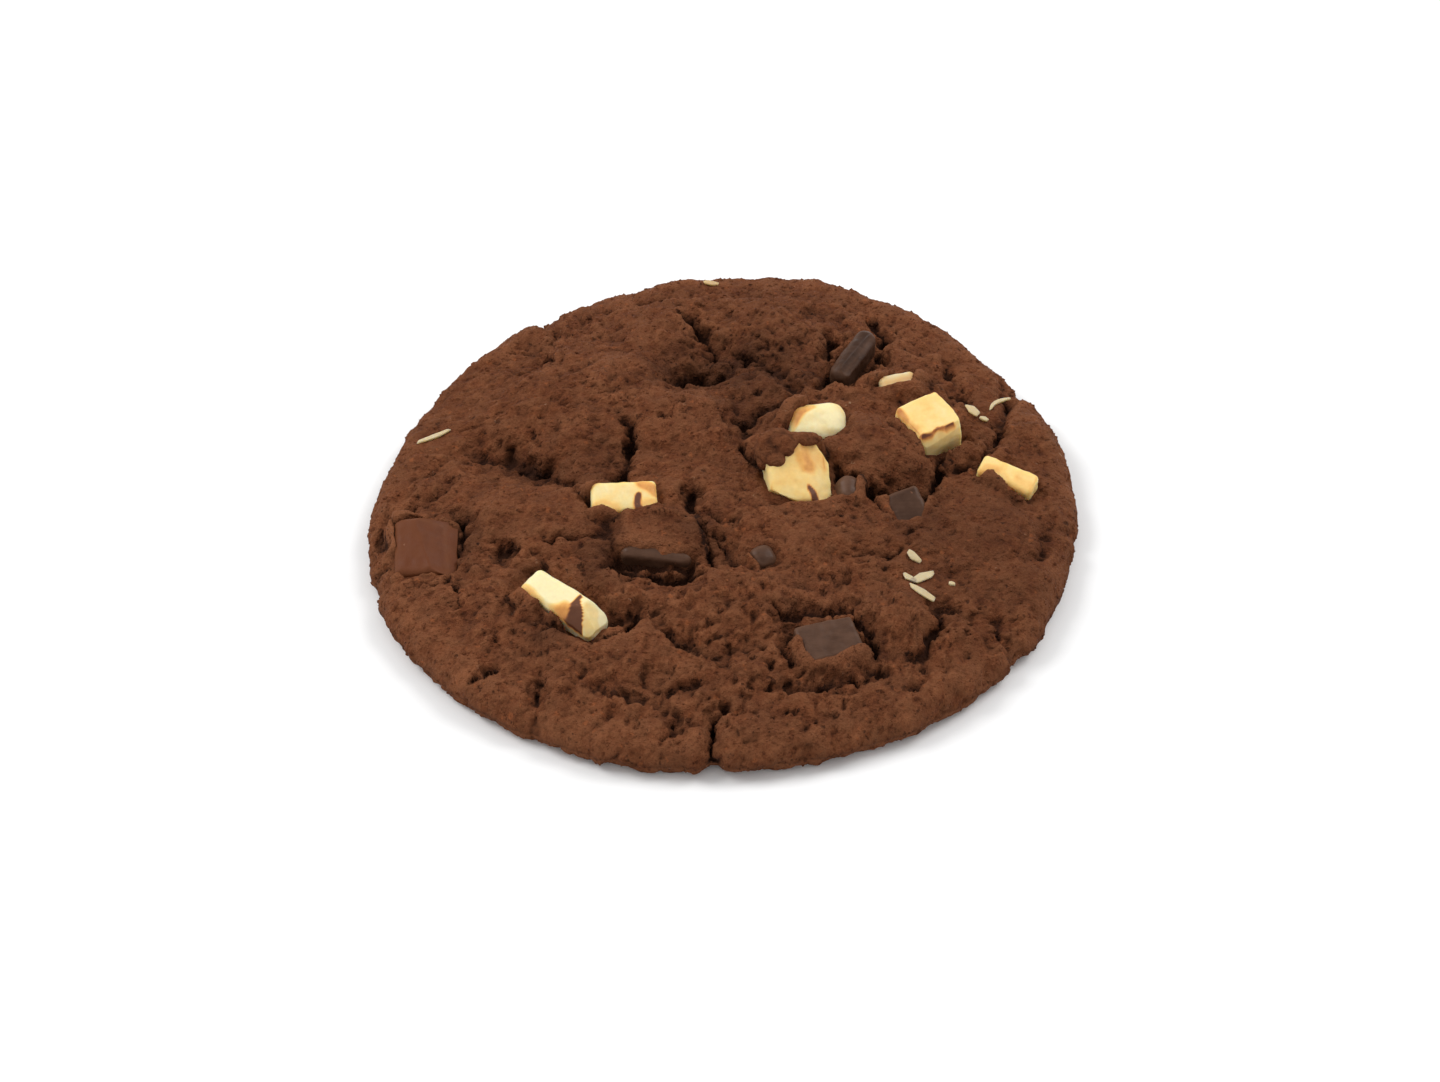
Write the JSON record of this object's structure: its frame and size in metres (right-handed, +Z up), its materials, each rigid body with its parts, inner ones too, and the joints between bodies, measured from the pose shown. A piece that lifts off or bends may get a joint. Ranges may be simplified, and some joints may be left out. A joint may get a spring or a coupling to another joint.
{
  "type": "chocolate cookie",
  "caption": "Round soft-baked chocolate cookie, a low cracked dome of dark dough on a flat base with chunks of white, dark and milk chocolate set in its top.",
  "frame": {"origin": "middle of the flat underside, at the centre of the cookie's box", "axes": "+Z up through the thin way of the cookie, +X to the right and -Y towards the front as the picture shows it"},
  "size_m": [0.1046, 0.106, 0.0143],
  "materials": {
    "dough": "matt, crumbly dark chocolate dough with near-black cracks",
    "white_chocolate": "satin cream white chocolate, toasted orange on its exposed edges",
    "dark_chocolate": "satin dark chocolate with a faint greyish bloom",
    "milk_chocolate": "satin milk chocolate"
  },
  "bodies": {
    "root": {"dough": "dough", "white_chunk_1": "white_chocolate", "white_chunk_2": "white_chocolate", "white_chunk_3": "white_chocolate", "white_chunk_4": "white_chocolate", "white_chunk_5": "white_chocolate", "white_chunk_6": "white_chocolate", "white_chunk_7": "white_chocolate", "dark_chunk_1": "dark_chocolate", "dark_chunk_2": "dark_chocolate", "dark_chunk_3": "dark_chocolate", "dark_chunk_4": "dark_chocolate", "dark_chunk_5": "dark_chocolate", "dark_chunk_6": "dark_chocolate", "milk_chunk": "milk_chocolate"}
  },
  "joints": []
}
